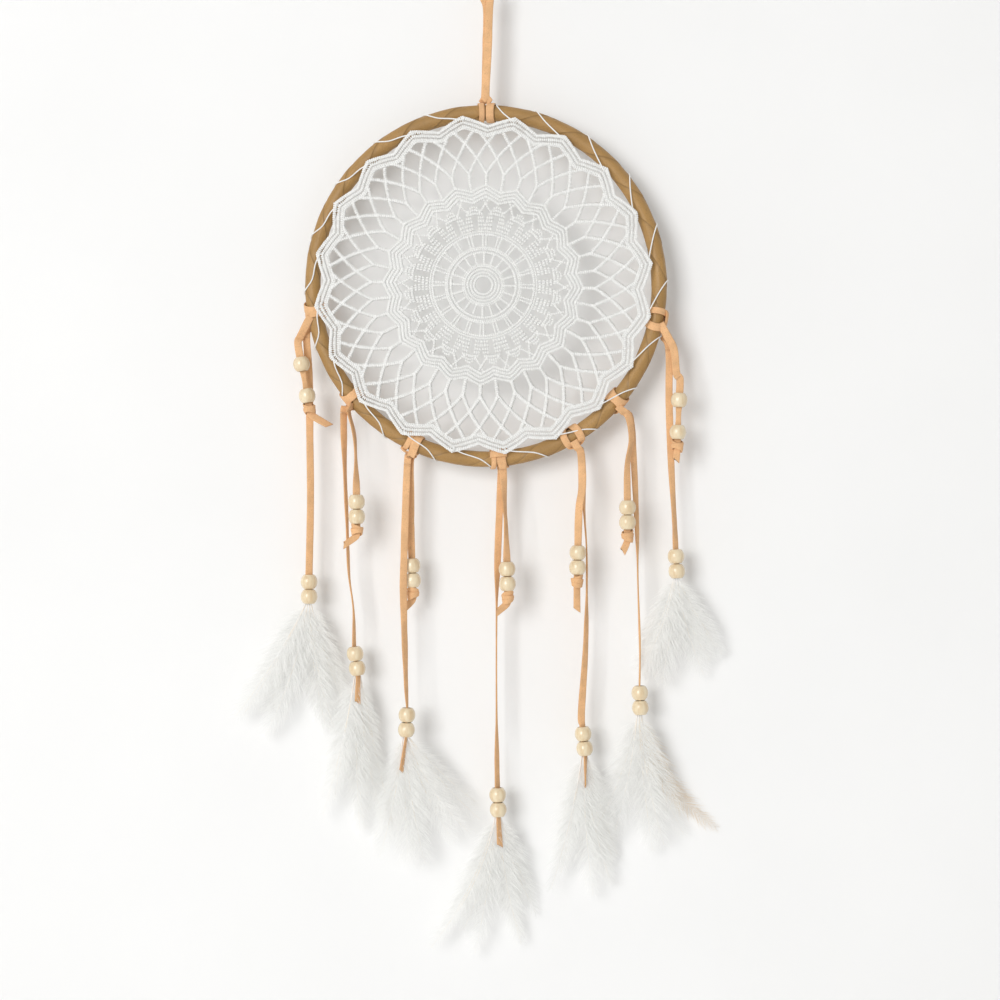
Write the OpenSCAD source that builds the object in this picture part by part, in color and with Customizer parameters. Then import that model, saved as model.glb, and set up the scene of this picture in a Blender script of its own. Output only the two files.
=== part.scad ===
// Dream catcher: a wrapped hoop with a crocheted doily laced into it, a strap
// loop to hang it by, and seven strap pendants with wooden beads and feathers.
// The origin is the hang point inside the top of the loop. +Z is up, the front
// faces -Y. Sizes are in millimetres.

/* [Hoop] */
// Outer diameter of the wrapped hoop
hoop_od = 200; // [160:1:260]
// Thickness of the bare rattan ring inside the wrapping
hoop_core_d = 7.4; // [5:0.1:9]
// Thickness of the tape wrapped round the ring
tape_t = 0.6; // [0.4:0.1:1]

/* [Doily] */
// Thickness of the crocheted lace
doily_t = 0.8; // [0.5:0.1:1.5]
// Diameter of the hole in the doily's centre
doily_hole_d = 8.6; // [5:0.1:12]
// Thickness of the lacing thread
thread_d = 0.8; // [0.5:0.1:1.2]

/* [Straps] */
// Width of the flat suede strap
strap_w = 4.4; // [3.4:0.1:5.3]
// Thickness of the flat suede strap
strap_t = 0.9; // [0.6:0.1:1.2]
// Height of the hanging loop, from the hang point to the top of the hoop
loop_drop = 68; // [66:1:90]
// Diameter of the stop knots under the beads
knot_d = 7.6; // [6:0.1:9]

/* [Beads] */
// Diameter of the wooden beads
bead_d = 9.3; // [8:0.1:11.2]
// Height of the wooden beads
bead_h = 7.9; // [6:0.1:9.5]

/* [Feathers] */
// Length of every feather, as a share of its own length
feather_size = 1; // [0.8:0.05:1.2]
// Thickness of a feather's vane with its down
vane_t = 1.2; // [1.1:0.1:1.6]
// Diameter of a quill
quill_d = 0.9; // [0.6:0.1:1]

/* [Fits] */
// Gap between the rattan ring and its wrapping
wrap_clear = 0.05; // [0.02:0.01:0.2]
// Gap between a hitch and the wrapped hoop
hitch_clear = 0.35; // [0.3:0.05:0.5]
// Gap between the doily's points and the middle of the hoop's tube
point_gap = 2.15; // [1.5:0.05:20]
// Gap on each side of a strap inside a bead's hole
bore_clear = 0.3; // [0.2:0.05:0.5]
// Gap between the beads of a short strap and the long strap beside them
beside_clear = 0.7; // [0.5:0.1:2]
// Gap between beads, and between a bead and the knot that it rests on
bead_clear = 0.3; // [0.2:0.05:0.5]
// Gap between the two parts of a strap at each place where it swings
swing_clear = 0.8; // [0.5:0.1:1.5]

/* [Hidden] */
$fn = 48;
PENDANTS = 7;
PENDANT_NODES = ["long_strap", "short_strap", "strap_tail", "upper_bead",
    "lower_bead", "feather_beads", "feathers"];

// Hoop: its thickness, the circle that the tube's centre follows, and its centre
hoop_tube_d = hoop_core_d + 2 * (wrap_clear + tape_t);
ring_r = (hoop_od - hoop_tube_d) / 2;
hoop_z = -(loop_drop + hoop_od / 2);

// Doily: it lies against the front of the hoop, in front of the hitches
doily_points = 20;
doily_step = 360 / doily_points;
doily_turn = 7.3;
doily_d = 2 * (ring_r - point_gap);
doily_x = -1.4;
hitch_inner_r = hoop_tube_d / 2 + hitch_clear;
hitch_outer_r = hitch_inner_r + strap_t;
doily_gap = 0.1;
doily_back_y = -(hitch_outer_r + doily_gap);
valley_share = 0.9;

// Lacing: how far round from its point each turn of thread crosses the hoop
lace_step = 9.5;
// The turn next to the hanging loop crosses sooner, to clear its hitch
lace_step_at_loop = 5.5;
lace_turn_at_loop = 4;
lace_gap = 0.1;
lace_r = hoop_tube_d / 2 + lace_gap + thread_d / 2;
point_inset = 1.2;
run_gap = 0.3;

// Hitches: two bands of strap side by side round the hoop
band_gap = 1.1;
hitch_half = strap_w + band_gap / 2;
top_hitch_turn = 90;
stem_w = 5.4;
stem_t = 2.6;
// Inner radius of the hanging loop's bend over whatever it hangs from
eye_inner_r = 2.2;
// Where the hanging loop twists when the hoop turns
twist_z = hoop_z + ring_r + hitch_outer_r + 5;

// Beads: their hole, and how far in front of the hitch those of a short strap are
bead_bore_d = strap_w + 2 * bore_clear;
long_back = 2.5;
bead_side = bead_d / 2 + beside_clear + strap_t / 2 - long_back;
// Bead runs: how far the beads on a short strap can slide up
low_travel = 10;
high_travel = 8;
raised_low_travel = 4;
raised_high_travel = 2;
run_margin = 1.5;
knot_h = 6.4;
tail_top = 1.2;

// Feather quills: how far they go up into the bead, and how far the vane is below
quill_in = 5;
quill_bare = 8;
quill_in_vane = 4;
quill_bend_d = quill_d * 1.2;
// The quills stand in a slanting row behind the strap that fills the bead's front
quill_gap = 0.2;
first_quill = [quill_gap + quill_d / 2 - bead_bore_d / 2, quill_d / 2];
next_quill = quill_d * [0.98, 0.5];
tail_gap = 0.1;
tail_y = -(strap_t / 2 + tail_gap);
first_tilt = 2;
tilt_step = 3;

// Pendants: each has its hitch's place round the hoop, in degrees
HITCH_AT = [188.5, 219.6, 245, 274.2, 299.7, 318.7, 349.4];
// Long straps: points beside and below the middle of the hitch [x, y, drop]
LONG_ROUTE = [
    [[-4.7, 1.2, 14], [-3.2, 2.5, 38], [-3, 2.5, 67], [-2.6, 2.5, 104]],
    [[-5, 1.2, 9], [-4.4, 2.5, 43], [-3.2, 2.5, 71], [-2.2, 2.5, 98],
        [0.3, 2.5, 118]],
    [[-3, -1.2, 11.5], [-4.8, -2.5, 63], [-5.1, -2.5, 84], [-3.8, -2.5, 130]],
    [[1.3, 1.2, 8], [-0.4, 2.5, 49], [-1.1, 2.5, 77], [-1.3, 2.5, 117],
        [-1, 2.5, 166]],
    [[5.1, 1.2, 10], [7.1, 2.5, 44], [8.4, 2.5, 69], [7.8, 2.5, 114],
        [5.4, 2.5, 152]],
    [[7.6, 1.2, 9], [9.4, 2, 25], [11.6, 2.5, 69], [12.2, 2.5, 101],
        [13.3, 2.5, 137]],
    [[7.1, 1.2, 17.5], [7.3, 2.5, 46], [8.5, 2.5, 82], [10.2, 2.5, 111]]];
// Upper feather bead: [x, drop] of its centre and its lean in degrees
FEATHER_BEAD = [[-3.4, 149.3, 0], [1.2, 142.3, -8], [-3.2, 150, 2],
    [-0.6, 186, -2], [6.3, 164.5, -6], [13.2, 161.8, -2], [11.1, 131.8, -3]];
// Strap below the feather beads: [length, lean], with no length where it ends inside
FEATHER_TAIL = [[0, 0], [15, 1], [19, 8], [16, -3], [17, 0], [0, 0], [0, 0]];
// Short straps: points beside and below the middle of the hitch [x, y, drop]
SHORT_ROUTE = [
    [[-7.9, -1.2, 14]],
    [[-2, -1.2, 9], [1, -2.4, 21]],
    [[-1.6, 1.2, 11.5], [-1.4, 3.3, 37]],
    [[2.4, -1.2, 8], [3.3, -2.8, 27]],
    [[5.1, -1.2, 10], [5.6, -3.3, 28]],
    [[6.8, -1.2, 9], [8.4, -2.4, 21]],
    [[9.6, -1.2, 17.5], [11, -3.3, 31]]];
// Bead on the stop knot: [x, side, drop] of its centre and its lean in degrees,
// with a side of -1 in front of the long strap and 1 behind it
LOW_BEAD = [[-4, -1, 46.6, -10], [2.5, -1, 66.4, -1], [-0.3, 1, 76, -2],
    [4.8, -1, 69, -1.5], [3, -1, 72.3, 1.5], [6.1, -1, 67.4, 0],
    [11.7, -1, 63.2, 2.3]];
// How far friction holds the upper bead above the one on the knot
RAISED = [9.5, 0, 0, 0, 0, 0, 9.5];
// Strap below the stop knots: [length, lean]
KNOT_TAIL = [[12, -60], [9, 55], [8, 45], [8, 50], [13, 0], [6, 25], [5, 6]];
// Feathers of each pendant: [lean, length, width]
FEATHERS = [
    [[-24, 72, 14], [-8, 76, 16], [2, 72, 15], [9, 62, 12]],
    [[-8, 80, 14], [-1, 87, 14], [6, 82, 14], [9, 108, 7]],
    [[-3, 70, 12], [4, 72, 16], [14, 64, 12], [38, 60, 8]],
    [[-17, 80, 12], [-5, 78, 14], [4, 74, 14], [11, 60, 12]],
    [[-8, 76, 14], [0, 79, 14], [5, 74, 14], [9, 60, 12]],
    [[-4, 70, 14], [3, 76, 15], [12, 70, 14], [32, 78, 10]],
    [[-12, 52, 14], [-2, 58, 16], [8, 56, 14], [20, 48, 12]]];

// Points of a pendant are counted from the middle of its hitch
function hitch_mid(i) = let (a = HITCH_AT[i - 1])
    [ring_r * cos(a), 0, hoop_z + ring_r * sin(a)];
function place(i, p) = hitch_mid(i) + [p[0], p[1], -p[2]];
function up_along(lean) = [sin(lean), 0, cos(lean)];

function low_bead_at(i) = let (b = LOW_BEAD[i - 1])
    place(i, [b[0], b[1] * bead_side, b[2]]);
function low_lean(i) = LOW_BEAD[i - 1][3];
function high_bead_at(i) = low_bead_at(i)
    + up_along(low_lean(i)) * (bead_h + bead_clear + RAISED[i - 1]);
function run_travel(i) = RAISED[i - 1] > 0
    ? raised_low_travel + raised_high_travel : low_travel + high_travel;
function run_top(i) = high_bead_at(i)
    + up_along(low_lean(i)) * (bead_h / 2 + run_travel(i) + run_margin);
function knot_top(i) = low_bead_at(i)
    - up_along(low_lean(i)) * (bead_h / 2 + bead_clear);

function long_y(i) = LONG_ROUTE[i - 1][1][1];
function feather_lean(i) = FEATHER_BEAD[i - 1][2];
function feather_bead_at(i) = let (b = FEATHER_BEAD[i - 1])
    place(i, [b[0], long_y(i), b[1]]);
function bead_end(i, share) = feather_bead_at(i)
    + up_along(feather_lean(i)) * bead_h * share;
function long_end(i) = bead_end(i, 0.5) + [0, 0, swing_clear];
function pair_bottom(i) = bead_end(i, -1.5) - up_along(feather_lean(i)) * bead_clear;

function unit(v) = v / norm(v);
function tangent(pts, k) =
    unit(pts[min(k + 1, len(pts) - 1)] - pts[max(k - 1, 0)]);
// One ring of a strap's skin: its broad side faces the front at a twist of 0
function strap_ring(p, t, twist) =
    let (side = [cos(twist), sin(twist), 0],
        u = unit(side - t * (side * t)),
        v = cross(t, u))
    [for (a = [22.5:45:359]) p + u * (strap_w / 2) * cos(a) / cos(22.5)
        + v * (strap_t / 2) * sin(a) / sin(67.5)];

// A strap swept along its route as one closed skin
module strap_along(pts, twists = []) {
    n = len(pts);
    sides = 8;
    skin = [for (k = [0:n - 1]) each strap_ring(pts[k], tangent(pts, k),
        len(twists) > 0 ? twists[k] : 0)];
    walls = [for (k = [0:n - 2]) for (s = [0:sides - 1])
        let (a = k * sides + s, b = k * sides + (s + 1) % sides)
        each [[a, a + sides, b + sides], [a, b + sides, b]]];
    ends = [[for (s = [0:sides - 1]) s],
        [for (s = [sides - 1:-1:0]) (n - 1) * sides + s]];
    polyhedron(skin, concat(walls, ends), convexity = 8);
}

// A flat piece of strap that hangs from a point at a lean
module strap_piece(top, length, lean) {
    translate(top) rotate([0, lean, 0])
        translate([-strap_w / 2, -strap_t / 2, -length])
            cube([strap_w, strap_t, length]);
}

// A turned bead with its bore, standing on the plane under its centre
module bead(at, lean) {
    face_r = bead_d * 0.36;
    side = [for (a = [-90:20:90])
        [face_r + (bead_d / 2 - face_r) * cos(a), bead_h / 2 * sin(a)]];
    translate(at) rotate([0, lean, 0]) rotate_extrude()
        polygon(concat([[bead_bore_d / 2, -bead_h / 2]], side,
            [[bead_bore_d / 2, bead_h / 2]]));
}

// One band of strap round the hoop's tube, beside the middle of the hitch
module hitch_band(offset) {
    rotate([0, 90, 0]) translate([0, 0, offset - strap_w / 2])
        rotate_extrude() translate([hitch_inner_r, 0])
            square([strap_t, strap_w]);
}

// Carries a child drawn along X at the top of the tube to its place on the hoop
module on_hoop(angle) {
    translate([0, 0, hoop_z]) rotate([0, 90 - angle, 0])
        translate([0, 0, ring_r]) children();
}

module hitch(angle) {
    on_hoop(angle) for (s = [-1, 1]) hitch_band(s * (strap_w + band_gap) / 2);
}

// The slack that joins a side hitch to the straps hanging beside the hoop
module hitch_slack(i) {
    a = place(i, LONG_ROUTE[i - 1][0]);
    b = place(i, SHORT_ROUTE[i - 1][0]);
    side = a[0] < 0 ? -1 : 1;
    inner = side * max(side * a[0], ring_r + hitch_outer_r - strap_w / 2);
    low = min(inner, b[0]) - strap_w / 2;
    high = max(inner, b[0]) + strap_w / 2;
    slack_h = hitch_mid(i)[2] - a[2] - swing_clear;
    clear_of_hoop = hoop_tube_d / 2 + hitch_clear;
    translate([low, clear_of_hoop, a[2] + swing_clear])
        cube([high - low, strap_t, slack_h]);
}

module hanging_loop() {
    // Rings [x, y, z, twist]: up the back strand, over the top, down the front
    eye_r = eye_inner_r + strap_t / 2;
    back = [[-0.5, 0.8, twist_z, 0], [0.4, 0.8, -15, 0], [-2, 0.4, -8, 45]];
    over = [for (a = [180:-45:0])
        [eye_r * cos(a), 0, eye_r * (sin(a) - 1) + strap_t / 2, 90]];
    front = [[2.6, -0.4, -8, 135], [1.8, -0.8, -15, 180],
        [-0.2, -0.8, twist_z, 180]];
    rings = concat(back, over, front);
    color("peru")
        strap_along([for (r = rings) [r[0], r[1], r[2]]], [for (r = rings) r[3]]);
}

module top_hitch() {
    stem_foot = hoop_z + ring_r + hitch_outer_r - strap_t / 2;
    stem_head = twist_z - swing_clear;
    color("peru") {
        hitch(top_hitch_turn);
        translate([-stem_w / 2, -stem_t / 2, stem_foot])
            cube([stem_w, stem_t, stem_head - stem_foot]);
    }
}

module hoop_tube(outer_d, inner_d) {
    translate([0, 0, hoop_z]) rotate([90, 0, 0])
        rotate_extrude($fn = 96) translate([ring_r, 0]) difference() {
            circle(d = outer_d);
            if (inner_d > 0) circle(d = inner_d);
        }
}

module hoop_ring() {
    color("burlywood") hoop_tube(hoop_core_d, 0);
}

module hoop_wrap() {
    color("tan") hoop_tube(hoop_tube_d, hoop_core_d + 2 * wrap_clear);
}

function polar(r, a) = [r * cos(a), r * sin(a)];
// A four-sided opening of the lace, narrow at its inner and outer ends
function lace_cell(r_in, r_mid, r_out, a, half) =
    [polar(r_in, a), polar(r_mid, a + half), polar(r_out, a), polar(r_mid, a - half)];
function lace_window(r_in, r_out, a, half) =
    [polar(r_in, a - half), polar(r_out, a - half), polar(r_out, a + half),
        polar(r_in, a + half)];

module doily() {
    tip_r = doily_d / 2;
    valley_r = tip_r * valley_share;
    turns = [for (k = [0:doily_points - 1]) doily_turn + k * doily_step];
    half_turn = doily_step / 2;
    edge = [for (a = turns) each [polar(tip_r, a), polar(valley_r, a + half_turn)]];
    hole = [for (a = [0:30:330]) polar(doily_hole_d / 2, a)];
    // The rounds of openings, each as a share of the distance to the points
    cells = concat(
        [for (a = turns) lace_window(tip_r * 0.225, tip_r * 0.29, a, 6)],
        [for (a = turns) lace_cell(tip_r * 0.43, tip_r * 0.47, tip_r * 0.51,
            a + half_turn, 5)],
        [for (a = turns) for (s = [-1, 1]) lace_cell(tip_r * 0.57, tip_r * 0.63,
            tip_r * 0.69, a + s * half_turn / 2, 3.3)],
        [for (a = turns) lace_cell(tip_r * 0.72, tip_r * 0.78, tip_r * 0.84,
            a, 3.4)]);
    loops = concat([edge, hole], cells);
    starts = [for (k = 0, s = 0; k < len(loops); s = s + len(loops[k]), k = k + 1) s];
    paths = [for (k = [0:len(loops) - 1])
        [for (p = [0:len(loops[k]) - 1]) starts[k] + p]];
    color("ivory") translate([doily_x, doily_back_y, hoop_z]) rotate([90, 0, 0])
        linear_extrude(doily_t) polygon([for (l = loops) each l], paths);
}

function point_turn(k) = doily_turn + k * doily_step;
function lace_at(k) = point_turn(k)
    + (k == lace_turn_at_loop ? lace_step_at_loop : lace_step);

// One turn of thread round the hoop, and its run to the doily's point
module lace_turn(k) {
    on_hoop(lace_at(k)) rotate([0, 90, 0])
        rotate_extrude() translate([lace_r, 0]) circle(d = thread_d, $fn = 16);
    tip = polar(doily_d / 2 - point_inset, point_turn(k));
    from = [doily_x + tip[0], -lace_r, hoop_z + tip[1]];
    cross_at = polar(ring_r, lace_at(k));
    to = [cross_at[0], -lace_r, hoop_z + cross_at[1]];
    run = to - from;
    translate(from) rotate([0, atan2(run[0], run[2]), 0])
        cylinder(h = norm(run) - thread_d / 2 - run_gap, d = thread_d, $fn = 16);
}

module lacing_thread() {
    color("white") for (k = [0:doily_points - 1]) lace_turn(k);
}

module strap_hitches() {
    color("peru") {
        for (a = HITCH_AT) hitch(a);
        hitch_slack(1);
        hitch_slack(PENDANTS);
    }
}

module long_strap(i) {
    route = [for (p = LONG_ROUTE[i - 1]) place(i, p)];
    color("peru") strap_along(concat(route, [long_end(i)]));
}

module short_strap(i) {
    route = [for (p = SHORT_ROUTE[i - 1]) place(i, p)];
    lean = low_lean(i);
    tail = KNOT_TAIL[i - 1];
    knot_foot = knot_top(i) - up_along(lean) * knot_h;
    color("peru") {
        strap_along(concat(route, [run_top(i), knot_top(i)]));
        translate(knot_top(i)) rotate([0, lean, 0]) mirror([0, 0, 1])
            rotate_extrude() polygon([[0, 0], [knot_d * 0.3, 0], [knot_d / 2, knot_h * 0.3],
                [knot_d / 2, knot_h * 0.7], [knot_d * 0.3, knot_h], [0, knot_h]]);
        strap_piece(knot_foot + up_along(lean) * tail_top, tail[0] + tail_top, tail[1]);
    }
}

// The strap through the feather beads, and the tail that shows below them
module strap_tail(i) {
    tail = FEATHER_TAIL[i - 1];
    set_back = [0, tail_y, 0];
    color("peru") {
        strap_piece(bead_end(i, 0.5) + set_back, 2 * bead_h + bead_clear, feather_lean(i));
        if (tail[0] > 0) strap_piece(pair_bottom(i) + set_back, tail[0], tail[1]);
    }
}

module upper_bead(i) {
    color("wheat") bead(high_bead_at(i), low_lean(i));
}

module lower_bead(i) {
    color("wheat") bead(low_bead_at(i), low_lean(i));
}

module feather_beads(i) {
    color("wheat") {
        bead(feather_bead_at(i), feather_lean(i));
        bead(bead_end(i, -1) - up_along(feather_lean(i)) * bead_clear, feather_lean(i));
    }
}

// A leaf-shaped outline that hangs down from its root
function vane(length, width) = let (steps = 9)
    [for (s = [0:steps]) let (t = s / steps)
        [width / 2 * pow(sin(180 * pow(t, 0.75)), 0.7), -length * t]];

// One feather: a quill along the bead's hole, then the leaning quill and its vane
module feather(length, width, lean, tilt, hole_lean) {
    half = vane(length - quill_bare, width);
    other = [for (s = [len(half) - 2:-1:1]) [-half[s][0], half[s][1]]];
    rotate([0, hole_lean, 0]) cylinder(h = quill_in, d = quill_d, $fn = 16);
    sphere(d = quill_bend_d, $fn = 16);
    rotate([tilt, lean, 0]) {
        mirror([0, 0, 1])
            cylinder(h = quill_bare + quill_in_vane, d = quill_d, $fn = 16);
        translate([0, vane_t / 2, -quill_bare]) rotate([90, 0, 0])
            linear_extrude(vane_t) polygon(concat(half, other));
    }
}

module feathers(i) {
    set = FEATHERS[i - 1];
    color("white") for (k = [0:len(set) - 1]) {
        quill = first_quill + k * next_quill;
        translate(pair_bottom(i) + [quill[0], quill[1], 0])
            feather(set[k][1] * feather_size, set[k][2], -set[k][0],
                first_tilt + k * tilt_step, feather_lean(i));
    }
}

hanging_loop();
top_hitch();
hoop_ring();
hoop_wrap();
doily();
lacing_thread();
strap_hitches();
for (i = [1:PENDANTS]) {
    long_strap(i);
    short_strap(i);
    strap_tail(i);
    upper_bead(i);
    lower_bead(i);
    feather_beads(i);
    feathers(i);
}
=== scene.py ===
"""Dream catcher: a tape-wound hoop, a crocheted doily laced into it, a suede hanging loop,
and seven suede pendants with wooden beads and feathers. Sizes are in metres, +Z is up."""

import math
import random

import bmesh
import bpy
from bpy.props import FloatProperty, FloatVectorProperty, IntProperty, PointerProperty
from mathutils import Matrix, Vector, noise


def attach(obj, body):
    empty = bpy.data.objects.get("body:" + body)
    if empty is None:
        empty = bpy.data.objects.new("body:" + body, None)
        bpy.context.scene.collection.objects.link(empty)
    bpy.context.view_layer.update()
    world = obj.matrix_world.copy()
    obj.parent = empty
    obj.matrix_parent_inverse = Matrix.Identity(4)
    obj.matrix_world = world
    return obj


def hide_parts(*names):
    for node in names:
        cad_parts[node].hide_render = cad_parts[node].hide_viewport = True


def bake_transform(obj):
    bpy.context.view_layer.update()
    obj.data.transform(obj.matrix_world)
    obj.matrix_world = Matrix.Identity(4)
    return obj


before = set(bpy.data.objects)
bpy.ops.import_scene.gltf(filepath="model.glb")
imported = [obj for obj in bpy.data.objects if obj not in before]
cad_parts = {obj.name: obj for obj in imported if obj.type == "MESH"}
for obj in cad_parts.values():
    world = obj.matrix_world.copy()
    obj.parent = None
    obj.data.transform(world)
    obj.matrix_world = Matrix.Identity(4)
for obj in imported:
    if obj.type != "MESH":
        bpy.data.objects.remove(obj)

bl_info = {
    "name": "Dream catcher",
    "version": (1, 0, 0),
    "blender": (4, 5, 0),
    "location": "View3D > Sidebar > Dream catcher",
    "description": "Builds a dream catcher round its working frame",
    "category": "Object",
}

MM = 0.001
PENDANTS = range(1, 8)

# ---------------------------------------------------------------- sizes that the frame has
HOOP_Z = -168 * MM
RING_R = 95.65 * MM
TUBE_R = 4.35 * MM
STRAP_W = 4.4 * MM
STRAP_T = 0.9 * MM
HITCH_R = 5.15 * MM
BAND_STEP = 5.5 * MM
TWIST_Z = -61.75 * MM
EYE_R = 2.65 * MM
DOILY_X = -1.4 * MM
DOILY_Y = -6.15 * MM
DOILY_TURN = 7.3
DOILY_POINTS = 20
DOILY_STEP = 18.0
BEAD_R = 4.65 * MM
BEAD_H = 7.9 * MM
BORE_R = 2.5 * MM
BEAD_GAP = 0.3 * MM
BEAD_SIDE = 3.3
SWING_GAP = 0.8 * MM
KNOT_H = 6.4 * MM
TAIL_Y = -0.55 * MM

# Places of the hitches round the hoop, in degrees
HITCH_AT = [188.5, 219.6, 245, 274.2, 299.7, 318.7, 349.4]
# Points of each strap beside and below the middle of its hitch [x, y, drop], in millimetres
LONG_ROUTE = [
    [[-4.7, 1.2, 14], [-3.2, 2.5, 38], [-3, 2.5, 67], [-2.6, 2.5, 104]],
    [[-5, 1.2, 9], [-4.4, 2.5, 43], [-3.2, 2.5, 71], [-2.2, 2.5, 98], [0.3, 2.5, 118]],
    [[-3, -1.2, 11.5], [-4.8, -2.5, 63], [-5.1, -2.5, 84], [-3.8, -2.5, 130]],
    [[1.3, 1.2, 8], [-0.4, 2.5, 49], [-1.1, 2.5, 77], [-1.3, 2.5, 117], [-1, 2.5, 166]],
    [[5.1, 1.2, 10], [7.1, 2.5, 44], [8.4, 2.5, 69], [7.8, 2.5, 114], [5.4, 2.5, 152]],
    [[7.6, 1.2, 9], [9.4, 2, 25], [11.6, 2.5, 69], [12.2, 2.5, 101], [13.3, 2.5, 137]],
    [[7.1, 1.2, 17.5], [7.3, 2.5, 46], [8.5, 2.5, 82], [10.2, 2.5, 111]],
]
SHORT_ROUTE = [
    [[-7.9, -1.2, 14]],
    [[-2, -1.2, 9], [1, -2.4, 21]],
    [[-1.6, 1.2, 11.5], [-1.4, 3.3, 37]],
    [[2.4, -1.2, 8], [3.3, -2.8, 27]],
    [[5.1, -1.2, 10], [5.6, -3.3, 28]],
    [[6.8, -1.2, 9], [8.4, -2.4, 21]],
    [[9.6, -1.2, 17.5], [11, -3.3, 31]],
]
# Turn of each long strap about its own line at those points, then at its feather beads, in degrees
LONG_TWIST = [
    [0, 14, 6, 20, 10],
    [22, 66, 72, 76, 84, 56],
    [-6, 10, 16, 60, 80],
    [-12, 14, 76, 90, 58, 56],
    [8, 76, 84, 48, 8, 40],
    [14, 20, 56, 88, 92, 90],
    [4, -8, 22, 50, 40],
]
SHORT_TWIST = [[10], [66, 76], [-12, 14], [16, 62], [10, -12], [26, 44], [-8, 10]]
# Upper feather bead: [x, drop, lean in degrees]
FEATHER_BEAD = [[-3.4, 149.3, 0], [1.2, 142.3, -8], [-3.2, 150, 2], [-0.6, 186, -2],
                [6.3, 164.5, -6], [13.2, 161.8, -2], [11.1, 131.8, -3]]
# Strap below the feather beads: [length, lean, turn at its top, turn at its end]
FEATHER_TAIL = [[0, 0, 0, 0], [15, 1, 56, 50], [19, 8, 80, 58], [16, -3, 64, 50], [17, 0, 66, 92],
                [0, 0, 0, 0], [0, 0, 0, 0]]
# Bead on the stop knot: [x, side, drop, lean]
LOW_BEAD = [[-4, -1, 46.6, -10], [2.5, -1, 66.4, -1], [-0.3, 1, 76, -2], [4.8, -1, 69, -1.5],
            [3, -1, 72.3, 1.5], [6.1, -1, 67.4, 0], [11.7, -1, 63.2, 2.3]]
RAISED = [9.5, 0, 0, 0, 0, 0, 9.5]
TRAVEL = [6, 18, 18, 18, 18, 18, 6]
# Strap below the stop knots: [length, lean]
KNOT_TAIL = [[12, -60], [9, 55], [8, 45], [8, 50], [13, 0], [6, 25], [5, 6]]
# Bands of each hitch: [offset along the hoop, slant, width share] and the turn of its bar
HITCH_BANDS = [
    [[-2.6, 2.4, 1.0], [2.7, -1.6, 1.0], 250],
    [[-2.4, 2.6, 1.0], [2.4, -2.6, 1.0], 215],
    [[-3.0, 0.9, 0.7], [2.5, -0.8, 1.1], 80],
    [[-3.3, 0.7, 0.65], [2.4, -1.0, 1.15], 335],
    [[-2.6, -1.8, 0.9], [2.6, 1.6, 1.0], 90],
    [[-2.5, 2.2, 1.0], [2.6, -2.2, 0.9], 225],
    [[-2.8, -2.6, 1.0], [2.6, 1.2, 0.8], 70],
]
TOP_HITCH = [[-2.9, 0.9, 1.0], [2.9, -0.7, 0.7], 180]
# Feathers of each pendant: [lean, length, width, curl] in degrees and millimetres
FEATHERS = [
    [[-26, 74, 15, -6], [-8, 78, 17, -10], [3, 74, 16, 8], [12, 64, 14, 6]],
    [[-9, 80, 14, -4], [-2, 87, 15, 3], [5, 82, 14, 4], [8, 110, 8, 5]],
    [[-5, 68, 13, -6], [4, 72, 17, 5], [14, 66, 14, 10], [32, 62, 10, 8]],
    [[-14, 82, 13, -12], [-5, 78, 14, -4], [4, 74, 14, 6], [12, 60, 13, 8]],
    [[-8, 76, 14, -5], [0, 79, 15, 4], [5, 74, 14, 6], [10, 60, 12, 4]],
    [[-5, 70, 15, -6], [3, 77, 16, 3], [12, 72, 14, 8], [8, 80, 12, 25]],
    [[-13, 54, 15, -8], [-3, 59, 17, -4], [8, 57, 15, 8], [20, 50, 13, 10]],
]
CREAM_FEATHER = (6, 3)
FIRST_QUILL = (-1.85, 0.45)
NEXT_QUILL = (0.882, 0.45)
QUILL_IN = 5 * MM


# ---------------------------------------------------------------- settings a user would change
class HoopLooks(bpy.types.PropertyGroup):
    """Tape winding of the hoop."""

    edges: IntProperty(name="Edges", description="Tape edges met on one trip round the hoop",
                       default=26, min=6, max=60)
    starts: IntProperty(name="Starts", description="Strips of tape wound side by side",
                        default=2, min=1, max=4)
    lap: FloatProperty(name="Lap", description="Step where one turn lies over the next",
                       default=0.15 * MM, unit="LENGTH", precision=5)
    colour: FloatVectorProperty(name="Tape", description="Colour of the waxed paper tape",
                                default=(0.455, 0.26, 0.085), subtype="COLOR", size=3)
    ring_colour: FloatVectorProperty(name="Ring", description="Colour of the rattan ring inside",
                                     default=(0.62, 0.44, 0.24), subtype="COLOR", size=3)


class LaceLooks(bpy.types.PropertyGroup):
    """Crocheted doily and its lacing."""

    stitch: FloatProperty(name="Stitch", description="Distance between neighbouring stitches",
                          default=1.12 * MM, unit="LENGTH", precision=5)
    thickness: FloatProperty(name="Thickness", description="Thickness of a stitch",
                             default=0.8 * MM, unit="LENGTH", precision=5)
    thread: FloatProperty(name="Lacing thread", description="Diameter of the lacing thread",
                          default=0.72 * MM, unit="LENGTH", precision=5)
    colour: FloatVectorProperty(name="Cotton", description="Colour of the cotton yarn",
                                default=(0.93, 0.93, 0.91), subtype="COLOR", size=3)
    seed: IntProperty(name="Seed", description="Order of the random tilt of the stitches", default=4)


class StrapLooks(bpy.types.PropertyGroup):
    """Suede straps."""

    colour: FloatVectorProperty(name="Suede", description="Colour of the suede's face",
                                default=(0.86, 0.51, 0.26), subtype="COLOR", size=3)
    edge_colour: FloatVectorProperty(name="Cut edge", description="Colour of the suede's cut edge",
                                     default=(0.60, 0.30, 0.105), subtype="COLOR", size=3)
    wave: FloatProperty(name="Wave", description="How far the strap turns at random about its line",
                        default=math.radians(7), unit="ROTATION")


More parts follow.
